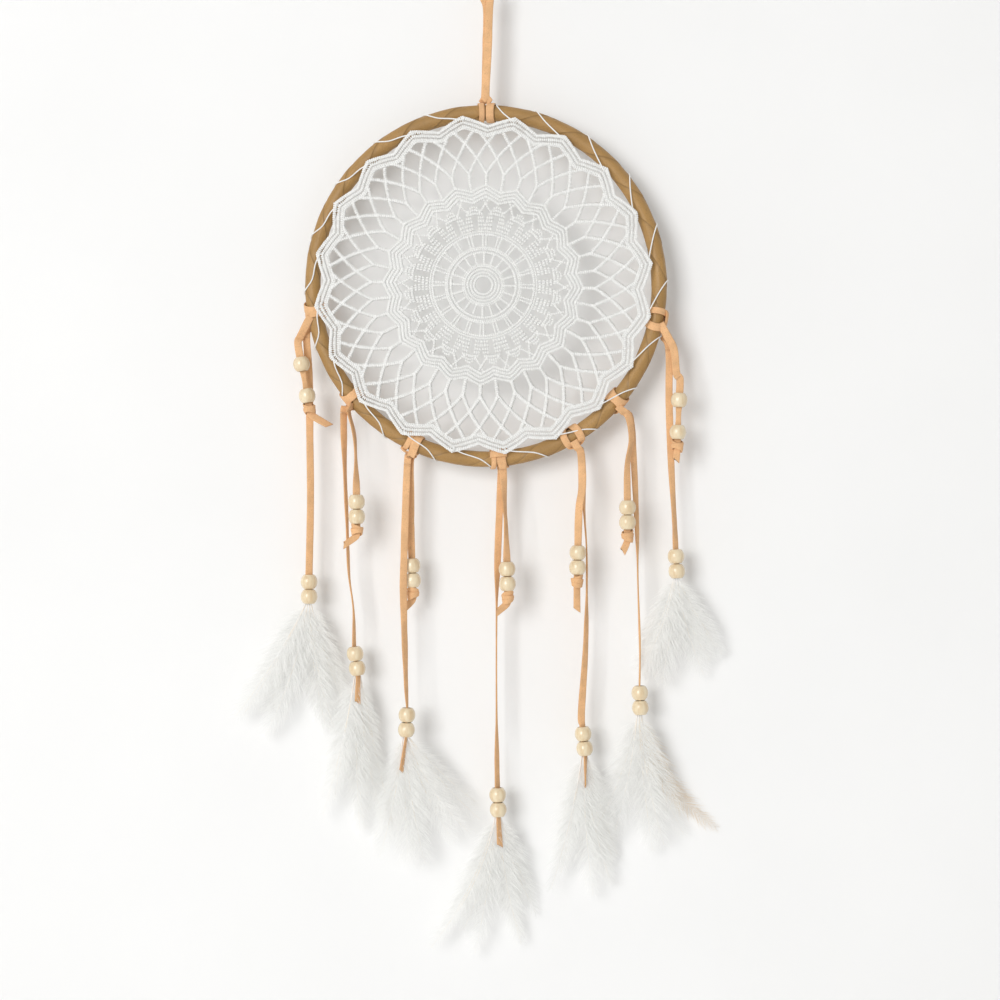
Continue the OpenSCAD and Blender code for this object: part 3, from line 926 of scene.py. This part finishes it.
def leg_start(i, exit_point):
    """Where a leg leaves its hitch: the far outer side of the tube, in line with its exit."""
    outward, ring = hoop_frame(HITCH_AT[i - 1])
    reach = exit_point - hitch_mid(i)
    along = max(-BAND_STEP / 2, min(BAND_STEP / 2, reach.dot(ring)))
    front = math.copysign(1, reach.y)
    return hitch_mid(i) + ring * along + outward * HITCH_R * 0.5 + Vector((0, front * HITCH_R * 0.86, 0))


def leg_knots(i, exit_point, twist):
    """A leg from its hitch to its exit, as knots that end at the exit."""
    start = leg_start(i, exit_point)
    middle = start.lerp(exit_point, 0.5)
    middle.y = start.y * 0.86
    return [(*start, twist, 1), (*middle, twist, 1)]


class CATCHER_OT_hitches(bpy.types.Operator):
    """Suede hitches that hold the pendants on the hoop"""

    bl_idname = "catcher.hitches"
    bl_label = "Hitches"

    def execute(self, context):
        for i in PENDANTS:
            shell = Shell()
            hitch_bands(shell, HITCH_AT[i - 1], HITCH_BANDS[i - 1])
            on_body(shell.build(f"hitch_{i}", suede()), "hoop", "suede", "strap_hitches")
        return {"FINISHED"}


class CATCHER_OT_long_straps(bpy.types.Operator):
    """Long suede straps, from the hoop to the tails under the feather beads"""

    bl_idname = "catcher.long_straps"
    bl_label = "Long straps"

    def execute(self, context):
        for i in PENDANTS:
            route = [place(i, p) for p in LONG_ROUTE[i - 1]]
            twists = LONG_TWIST[i - 1]
            leg = leg_knots(i, route[0], twists[0])
            knots = leg + [(*p, t, 0.92) for p, t in zip(route, twists)]
            pivot = feather_pivot(i)
            length, lean, top_turn, end_turn = FEATHER_TAIL[i - 1]
            knots.append((*pivot, twists[-1], 0.92))
            back = Vector((0, TAIL_Y, 0))
            for share in (0.1, -0.5, -1.1):
                knots.append((*(feather_bead(i, share)[0] + back), twists[-1], 0.92))
            bottom = pair_bottom(i) + back
            if length:
                down = -up_along(lean)
                knots.append((*bottom, top_turn, 0.9))
                knots.append((*(bottom + down * length * 0.5 * MM), (top_turn + end_turn) / 2, 0.92))
                knots.append((*(bottom + down * length * MM), end_turn, 0.92))
            steps = 7
            stations = strap_stations(knots, steps)
            cut = len(leg) * steps
            shell = Shell()
            sweep_strap(shell, stations[:cut + 1])
            root = shell.build(f"long_strap_leg_{i}", suede())
            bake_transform(root)
            shell = Shell()
            sweep_strap(shell, stations[cut:], shear=1.2 * MM if length else 0)
            strap = shell.build(f"long_strap_suede_{i}", suede())
            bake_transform(strap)
            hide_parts(f"long_strap_{i}", f"strap_tail_{i}")
        return {"FINISHED"}


class CATCHER_OT_short_straps(bpy.types.Operator):
    """Short suede straps with their stop knots and cut ends"""

    bl_idname = "catcher.short_straps"
    bl_label = "Short straps"

    def execute(self, context):
        for i in PENDANTS:
            low, up = low_bead(i)
            high, _ = high_bead(i)
            run_top = high + up * (BEAD_H / 2 + (TRAVEL[i - 1] + 1.5) * MM)
            knot_top = low - up * (BEAD_H / 2 + BEAD_GAP)
            knot_foot = knot_top - up * KNOT_H
            length, lean = KNOT_TAIL[i - 1]
            down = -up_along(lean)
            route = [place(i, p) for p in SHORT_ROUTE[i - 1]]
            twists = SHORT_TWIST[i - 1]
            narrow = 0.62 if RAISED[i - 1] else 0.95
            leg = leg_knots(i, route[0], twists[0])
            knots = leg + [(*p, t, 1) for p, t in zip(route, twists)]
            knots += [(*run_top, twists[-1], 0.96), (*high, 0, 0.93), (*((high + low) / 2), 10, narrow),
                      (*low, 0, 0.93), (*knot_top, 0, 0.9), (*(knot_foot + up * 1.2 * MM), 0, 0.85),
                      (*(knot_foot + down * 2 * MM), 10, 0.9),
                      (*(knot_foot + down * length * MM), 20, 0.95)]
            steps = 6
            stations = strap_stations(knots, steps)
            shell = Shell()
            sweep_strap(shell, stations, shear=1.4 * MM)
            stop_knot(shell, (knot_top + knot_foot) / 2, up, i)
            strap = shell.build(f"short_strap_suede_{i}", suede())
            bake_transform(strap)
            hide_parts(f"short_strap_{i}")
        return {"FINISHED"}


# Turns of a stop knot: [height, slope, radius, phase], in millimetres
KNOT_TURNS = [[-1.3, 0.42, 2.75, 0.0], [1.2, -0.46, 2.7, 1.3], [0.0, 0.12, 3.0, 2.1]]


def stop_knot(shell, centre, up, i):
    """Three turns of strap pulled tight round the strap."""
    side = up.cross(Vector((0, 1, 0)))
    for height, slope, radius, phase in KNOT_TURNS:
        stations = []
        for k in range(24):
            turn = math.tau * k / 24
            wave = phase + i
            outward = side * math.cos(turn) + Vector((0, 1, 0)) * math.sin(turn) * 0.86
            lift = height + slope * radius * math.cos(turn + wave)
            stations.append((centre + outward * radius * MM + up * lift * MM,
                             (up + outward * 0.15).normalized(), 0.62))
        sweep_strap(shell, stations, closed=True)


class CATCHER_OT_hoop(bpy.types.Operator):
    """Rattan ring and its winding of waxed paper tape"""

    bl_idname = "catcher.hoop"
    bl_label = "Hoop"

    def execute(self, context):
        looks = context.scene.catcher_hoop
        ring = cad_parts["hoop_ring"]
        ring.data.materials.clear()
        ring.data.materials.append(rattan())
        shares = (0.0, 0.015, 0.05, 0.12, 0.22, 0.34, 0.46, 0.58, 0.7, 0.82, 0.92, 0.985)
        sides, rows = 36, looks.edges * len(shares)
        points, lap_shades, creases = [], [], []
        for strip in range(looks.edges):
            for share in shares:
                for j in range(sides):
                    spin = math.tau * j / sides
                    a = math.tau * (strip + share + looks.starts * j / sides) / looks.edges
                    outward = Vector((math.cos(a), 0, math.sin(a)))
                    tube = outward * (RING_R + TUBE_R * math.cos(spin))
                    tube.y = -TUBE_R * math.sin(spin)
                    sway = 0.014 * noise.noise(tube * 60)
                    outward = Vector((math.cos(a + sway), 0, math.sin(a + sway)))
                    fold, fine = noise.noise(tube * 210), noise.noise(tube * 620)
                    step = looks.lap * (1 - share) ** 1.6
                    radius = TUBE_R - 0.12 * MM + step + (fold * 0.15 + fine * 0.07) * MM
                    points.append(Vector((0, 0, HOOP_Z)) + outward * (RING_R + radius * math.cos(spin))
                                  + Vector((0, -radius * math.sin(spin), 0)))
                    # Painted shade mask along the lap step, strongest on the last sliver of each strip
                    lap_shades.append(0.8 if share > 0.95 else 0.25 if share > 0.9 else 0.0)
                    creases.append(0.5 + fold * 0.3 + fine * 0.5)
        faces = []
        for i in range(rows):
            for j in range(sides):
                after = (j + 1) % sides
                shift = looks.starts * len(shares) if after == 0 else 0
                corners = [(i, j), (i + 1, j), (i + 1 + shift, after), (i + shift, after)]
                faces.append([r % rows * sides + c for r, c in corners])
        wrap = make_object("hoop_tape", points, faces, paper_tape(), marks={"lap": lap_shades, "crease": creases})
        on_body(wrap, "hoop", "wrap_tape", "hoop_wrap")
        return {"FINISHED"}


def lace_point(r, angle):
    """A point of the doily at radius r millimetres and an angle in degrees, on its gentle wave."""
    a = math.radians(angle)
    wave = 0.22 * (1 + math.sin(a * 3 + 1)) + 0.12 * (1 + math.sin(r * 0.22 + a * 5))
    return Vector((DOILY_X + r * MM * math.cos(a), DOILY_Y - wave * MM, HOOP_Z + r * MM * math.sin(a)))


def lace_line(corners, across, along, pieces=1):
    """A line of stitches through corners (r, angle), each across by along millimetres."""
    thickness = bpy.context.scene.catcher_lace.thickness
    line = []
    for k in range(len(corners) - 1):
        for s in range(pieces):
            t = s / pieces
            line.append(tuple(a + (b - a) * t for a, b in zip(corners[k], corners[k + 1])))
    line.append(corners[-1])
    points = [lace_point(r, a) for r, a in line]
    made = []
    for point, ahead in zip(points, directions(points)):
        side = ahead.cross(Vector((0, 1, 0)))
        made.append((point, side, (across * MM, thickness, along * MM)))
    return made


def tip_angles():
    return [DOILY_TURN + DOILY_STEP * k for k in range(DOILY_POINTS)]


def full_round(r, across, along):
    return lace_line([(r, a) for a in range(0, 361, 4)], across, along)


def zigzag(at_tip, at_half, across, along):
    """A pointed round of stitches: at_tip and at_half are its radii."""
    corners = []
    for tip in tip_angles() + [DOILY_TURN + 360]:
        corners += [(at_tip, tip), (at_half, tip + DOILY_STEP / 2)]
    return lace_line(corners[:-1], across, along, 6)


class CATCHER_OT_doily(bpy.types.Operator):
    """Crocheted cotton doily"""

    bl_idname = "catcher.doily"
    bl_label = "Doily"

    def execute(self, context):
        looks = context.scene.catcher_lace
        half = DOILY_STEP / 2
        centre, net = [], []
        for r in (5.1, 6.9, 8.7, 10.4, 18.0, 19.9, 28.0):
            centre.append(full_round(r, 2.1, 1.1))
        centre.append(full_round(29.4, 1.5, 1.15))
        for r in (11.5, 20.9):
            centre.append(full_round(r, 1.2, 1.15))
        for tip in tip_angles():
            centre.append(lace_line([(11.4, tip + half), (17.4, tip + half)], 2.0, 1.15))
            for s in (-1, 1):
                post = tip + half + s * 2.1
                centre.append(lace_line([(20.8, post), (27.2, post)], 1.7, 1.15))
                for r in (31.1, 33.2, 35.3, 37.2):
                    near, far = tip + s * 3.3, tip + s * (8.6 - (r - 31) * 0.25)
                    centre.append(lace_line([(r, near), (r, far)], 2.4, 1.1))
                centre.append(lace_line([(40.0, tip + s * 4.6), (47.6, tip + s * (half + 1.8))], 1.9, 1.15))
            centre.append(lace_line([(39.2, tip - 6.0), (39.5, tip), (39.2, tip + 6.0)], 2.3, 1.1))
            centre.append(lace_line([(40.9, tip - 4.2), (41.6, tip), (40.9, tip + 4.2)], 2.2, 1.1))
            centre.append(lace_line([(42.6, tip - 2.4), (43.4, tip), (42.6, tip + 2.4)], 2.1, 1.1))
        for row in range(4):
            centre.append(zigzag(45.2 + row * 2.05, 48.9 + row * 2.05, 2.4, 1.1))
        for tip in tip_angles():
            for turn, foot in ((0, 51.8), (half, 55.6)):
                net.append(lace_line([(foot, tip + turn), (61.5, tip + turn)], 2.9, 1.15))
                for s in (-1, 1):
                    net.append(lace_line(net_run(tip, turn, s), 2.9, 1.15, 3))
        for row in range(3):
            net.append(zigzag(88.0 + row * 2.3, 82.6 + row * 2.15, 2.55, 1.1))
        net.append(zigzag(93.4, 87.4, 1.4, 1.15))
        net.append(zigzag(86.9, 81.6, 1.4, 1.15))
        grain = stitch_grain()
        pieces = []
        for name, lines in (("doily_centre", centre), ("doily_border", net)):
            pieces.append(set_along(name, lines, grain, cotton(), looks.stitch, looks.seed, lean=(0, 0.12, 0),
                                    jitter=(0.2, 0.22, 0.25), size_jitter=0.12))
        join_meshes(pieces[0], pieces[1:])
        bpy.data.objects.remove(grain)
        doily = pieces[0]
        doily.name = "doily_lace"
        on_body(doily, "hoop", "crochet_cotton", "doily")
        return {"FINISHED"}


def net_run(tip, turn, way):
    """One slanting run of the net, from a spoke's foot to the border, as (r, angle)."""
    slope = 9.6 / 18.0
    run = [(61.5, tip + turn)]
    r = 61.5
    while r < 90:
        r += 0.8
        angle = turn + way * slope * (r - 61.5)
        away = abs((angle + 9) % 18 - 9)
        if r > 87.2 - 5.6 * away / 9:
            break
        run.append((r, tip + angle))
    return [run[0], run[len(run) // 2], run[-1]]


def join_meshes(first, others):
    """Adds the other objects' meshes to the first."""
    shell = bmesh.new()
    shell.from_mesh(first.data)
    for other in others:
        shell.from_mesh(other.data)
        bpy.data.objects.remove(other)
    shell.to_mesh(first.data)
    shell.free()


class CATCHER_OT_lacing(bpy.types.Operator):
    """Cotton thread that laces the doily's points to the hoop"""

    bl_idname = "catcher.lacing"
    bl_label = "Lacing thread"

    def execute(self, context):
        radius = context.scene.catcher_lace.thread / 2
        lie = TUBE_R / MM + 0.42
        knots = []
        for k, tip in enumerate(tip_angles()):
            pull = 0.62 if k == 4 else 1.0
            for r, turn, y in ((91.4, 0, -6.5), (93.2, 3.6 * pull, -6.0), (95.65, 8.6 * pull, -lie),
                               (99.0, 11.6 * pull, -3.4), (100.5, 12.8 * pull, 0), (99.0, 14.2, 3.4),
                               (95.65, 15.4, lie), (92.2, 16.6, 3.4), (91.2, 17.3, -1.5)):
                a = math.radians(tip + turn)
                lean_in = DOILY_X / MM * (1 if abs(y) > 5.5 else 0)
                knots.append((lean_in + r * math.cos(a), y, HOOP_Z / MM + r * math.sin(a)))
        knots.append(knots[0])
        line = [Vector(p) * MM for p in smooth_line(knots, 3)[:-1]]
        shell = Shell()
        round_tube(shell, line, [radius] * len(line), 7, closed=True)
        knot_at = lace_point(91.5, DOILY_TURN + DOILY_STEP * 14) + Vector((0, -0.8 * MM, 0))
        for phase in (0.0, 1.0, 2.1):
            loop = []
            for k in range(14):
                t = math.tau * k / 14
                loop.append(knot_at + Vector((math.cos(t) * 1.1, math.sin(t + phase) * 0.7,
                                              math.sin(t) * 1.1 * math.cos(phase))) * MM)
            round_tube(shell, loop, [radius] * len(loop), 6, closed=True)
        on_body(shell.build("lacing_cotton", cotton()), "hoop", "crochet_cotton", "lacing_thread")
        return {"FINISHED"}


def turned_bead(shell, centre, up):
    """A bead turned on a lathe, with its bore."""
    profile = [(BORE_R, -0.46), (BORE_R + 0.25 * MM, -0.495)]
    for z in (-0.49, -0.46, -0.41, -0.34, -0.26, -0.17, 0.0, 0.17, 0.26, 0.34, 0.41, 0.46, 0.49):
        profile.append((BEAD_R * math.sqrt(1 - (z / 0.63) ** 2), z))
    profile += [(BORE_R + 0.25 * MM, 0.495), (BORE_R, 0.46), (BORE_R - 0.05 * MM, 0.0)]
    side = up.cross(Vector((0, 1, 0))).normalized()
    rings, bore_shades = [], []
    for k in range(30):
        a = math.tau * k / 30
        outward = side * math.cos(a) + side.cross(up) * math.sin(a)
        wobble = 1 + 0.006 * noise.noise(centre * 900 + outward)
        rings.append([centre + outward * r * (wobble if r > BORE_R * 1.2 else 1) + up * z * BEAD_H
                      for r, z in profile])
        # Painted shade mask: 1 inside the bore, 0.5 on its rim
        bore_shades += [1.0 if r <= BORE_R else 0.5 if r < BORE_R + 0.3 * MM else 0.0 for r, z in profile]
    shell.add(*loft(rings, closed=True), bore=bore_shades)


class CATCHER_OT_beads(bpy.types.Operator):
    """Turned wooden beads"""

    bl_idname = "catcher.beads"
    bl_label = "Beads"

    def execute(self, context):
        for i in PENDANTS:
            upper, _ = feather_bead(i)
            up = up_along(FEATHER_BEAD[i - 1][2])
            for name, body, node, places in (
                    ("upper_bead_wood", "high_bead", "upper_bead", [high_bead(i)]),
                    ("lower_bead_wood", "low_bead", "lower_bead", [low_bead(i)]),
                    ("feather_beads_wood", "feather_drop", "feather_beads",
                     [(upper, up), (upper - up * (BEAD_H + BEAD_GAP), up)])):
                shell = Shell()
                for centre, along in places:
                    turned_bead(shell, centre, along)
                on_body(shell.build(f"{name}_{i}", bead_wood()), f"{body}_{i}", "beech", f"{node}_{i}")
        return {"FINISHED"}


def rachis(root, lean, curl, length, tilt, steps=22):
    """The line of a quill that leans, curls and tilts backwards, in metres."""
    line, point = [root + Vector((0, 0, QUILL_IN)), root], Vector(root)
    for k in range(steps):
        share = (k + 0.5) / steps
        a = math.radians(lean + curl * share * 2)
        b = math.radians(tilt) * (1 - 0.4 * share)
        point = point + Vector((math.sin(a), math.sin(b), -math.cos(a) * math.cos(b))) * (length / steps)
        line.append(point.copy())
    return line


def vane_reach(share, width):
    """How far the barbs reach on each side at a share of the feather's length."""
    return width / 2 * (0.3 + 0.85 * math.sin(math.pi * min(1, share ** 0.62)) ** 0.8)


class CATCHER_OT_feathers(bpy.types.Operator):
    """Bundles of feathers under the beads"""

    bl_idname = "catcher.feathers"
    bl_label = "Feathers"

    def execute(self, context):
        looks = context.scene.catcher_feather
        barb = feather_barb()
        draw = random.Random(looks.seed)
        for i in PENDANTS:
            bottom = pair_bottom(i)
            vanes = {"white": [], "cream": []}
            quills = Shell()
            for k, (lean, length, width, curl) in enumerate(FEATHERS[i - 1]):
                root = bottom + Vector((FIRST_QUILL[0] + k * NEXT_QUILL[0],
                                        FIRST_QUILL[1] + k * NEXT_QUILL[1], 0)) * MM
                kind = "cream" if (i, k) == CREAM_FEATHER else "white"
                for extra in (0, 1):
                    if extra and kind == "cream":
                        continue
                    swing = draw.uniform(-6, 6) * extra
                    size = 1 - 0.16 * draw.random() * extra
                    tilt = 2 + 3 * k + extra * draw.uniform(-3, 3)
                    line = rachis(root + Vector((0.25, 0.2, 0)) * MM * extra, lean + swing,
                                  curl + draw.uniform(-5, 5) * extra, length * size * MM, tilt)
                    n = len(line)
                    radii = [0.3 * MM * max(0.16, 1 - j / (n - 1)) for j in range(n)]
                    round_tube(quills, line, radii, 6)
                    spin = draw.uniform(-0.5, 0.5)
                    vane = []
                    for j in range(2, n):
                        share = (j - 1) / (n - 2)
                        ahead = line[min(j + 1, n - 1)] - line[j - 1]
                        side = ahead.cross(Vector((0, 1, 0))).normalized()
                        side = Matrix.Rotation(spin * (0.4 + share), 3, ahead) @ side
                        reach = vane_reach(share, width * MM)
                        vane.append((line[j], side, (reach, reach, reach * (0.9 + 0.6 * share))))
                    vanes[kind].append(vane)
            pieces = []
            for kind, lines in vanes.items():
                if not lines:
                    continue
                finish = white_feather() if kind == "white" else cream_feather()
                pieces.append(set_along(f"feather_vanes_{kind}_{i}", lines, barb, finish, looks.spacing,
                                        looks.seed + i, jitter=(0.3, 0.24, 0.4), size_jitter=0.35,
                                        both_sides=True, smooth=False))
            for piece in pieces:
                on_body(piece, f"feather_drop_{i}", "feather", f"feathers_{i}")
            on_body(quills.build(f"feather_quills_{i}", quill_finish()), f"feather_drop_{i}", "feather",
                    f"feathers_{i}")
        bpy.data.objects.remove(barb)
        return {"FINISHED"}


STEPS = (CATCHER_OT_stage, CATCHER_OT_hanging_loop, CATCHER_OT_long_straps, CATCHER_OT_short_straps,
         CATCHER_OT_hitches, CATCHER_OT_hoop, CATCHER_OT_doily, CATCHER_OT_lacing, CATCHER_OT_beads,
         CATCHER_OT_feathers)
LOOKS = {"catcher_hoop": HoopLooks, "catcher_lace": LaceLooks, "catcher_strap": StrapLooks,
         "catcher_bead": BeadLooks, "catcher_feather": FeatherLooks, "catcher_stage": StageLooks}


class CATCHER_PT_panel(bpy.types.Panel):
    """Lists the steps and settings of the dream catcher"""

    bl_idname = "CATCHER_PT_panel"
    bl_label = "Dream catcher"
    bl_space_type = "VIEW_3D"
    bl_region_type = "UI"
    bl_category = "Dream catcher"

    def draw(self, context):
        for step in STEPS:
            self.layout.operator(step.bl_idname)
        for key, looks in LOOKS.items():
            box = self.layout.box()
            for label in looks.__annotations__:
                box.prop(getattr(context.scene, key), label)


def register():
    for kind in (*LOOKS.values(), *STEPS, CATCHER_PT_panel):
        bpy.utils.register_class(kind)
    for key, looks in LOOKS.items():
        setattr(bpy.types.Scene, key, PointerProperty(type=looks))


def unregister():
    for key in LOOKS:
        delattr(bpy.types.Scene, key)
    for kind in reversed((*LOOKS.values(), *STEPS, CATCHER_PT_panel)):
        bpy.utils.unregister_class(kind)


def main():
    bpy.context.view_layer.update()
    register()
    for step in STEPS:
        group, name = step.bl_idname.split(".")
        getattr(getattr(bpy.ops, group), name)()


if __name__ == "__main__":
    main()
